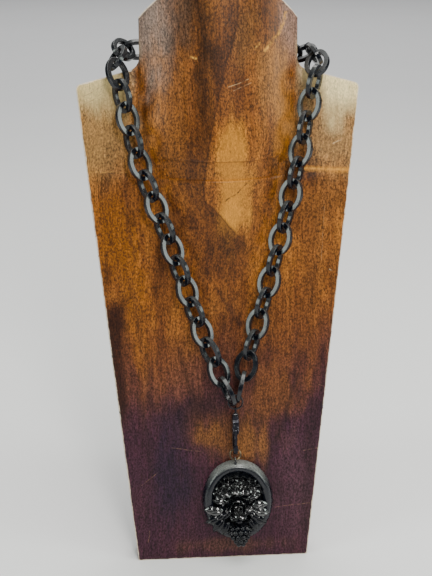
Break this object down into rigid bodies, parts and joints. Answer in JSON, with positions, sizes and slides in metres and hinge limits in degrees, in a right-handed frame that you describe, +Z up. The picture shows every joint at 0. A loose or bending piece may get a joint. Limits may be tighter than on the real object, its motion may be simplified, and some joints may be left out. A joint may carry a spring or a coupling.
{
  "type": "vulcanite link necklace on a wooden neck bust",
  "caption": "Necklace of dark oval links with a snap hook and a carved oval flower pendant, laid over a leaning wooden neck bust with shoulders and a rear prop.",
  "frame": {"origin": "middle of the ground area that the whole covers, on the surface the bust stands on", "axes": "+Z up, the bust and pendant face -Y, +X to the viewer's right"},
  "size_m": [0.164, 0.1042, 0.3475],
  "materials": {
    "bust_wood": "oiled",
    "prop_wood": "oiled",
    "vulcanite": "dull polished hard rubber",
    "dark_wire": "darkened",
    "clip_steel": "dull nickel",
    "brass_wire": "worn",
    "pendant_frame": "polished hard rubber",
    "pendant_relief": "glossy black"
  },
  "bodies": {
    "necklace_on_bust": {"bust": "bust_wood", "rear_prop": "prop_wood", "link_01": "vulcanite", "link_02": "vulcanite", "link_03": "vulcanite", "link_04": "vulcanite", "link_05": "vulcanite", "link_06": "vulcanite", "link_07": "vulcanite", "link_08": "vulcanite", "link_09": "vulcanite", "link_10": "vulcanite", "link_11": "vulcanite", "link_12": "vulcanite", "link_13": "vulcanite", "link_14": "vulcanite", "link_15": "vulcanite", "link_16": "vulcanite", "link_17": "vulcanite", "link_18": "vulcanite", "link_19": "vulcanite", "link_20": "vulcanite", "link_21": "vulcanite", "link_22": "vulcanite", "link_23": "vulcanite", "link_24": "vulcanite", "link_25": "vulcanite", "link_26": "vulcanite", "link_27": "vulcanite", "link_28": "vulcanite", "link_29": "vulcanite", "link_30": "vulcanite", "link_31": "vulcanite", "link_32": "vulcanite", "link_33": "vulcanite", "link_34": "vulcanite", "link_35": "vulcanite", "link_36": "vulcanite", "link_37": "vulcanite", "link_38": "vulcanite", "link_39": "vulcanite", "link_40": "vulcanite", "link_41": "vulcanite", "link_42": "vulcanite", "link_43": "vulcanite", "link_44": "vulcanite", "top_ring": "dark_wire", "swivel_bow": "clip_steel", "snap_hook": "clip_steel", "jump_ring": "brass_wire", "pendant_frame": "pendant_frame", "flower_spray": "pendant_relief"},
    "lever": {"snap_lever": "clip_steel"}
  },
  "joints": [
    {"name": "lever_hinge", "type": "hinge", "parent": "necklace_on_bust", "child": "lever", "pos_m": [0.0075, -0.03702, 0.08753], "axis": [1, 0, 0], "range_deg": [0, 16], "stiffness_Nm_per_rad": 0.002, "springref_deg": -11.46}
  ]
}
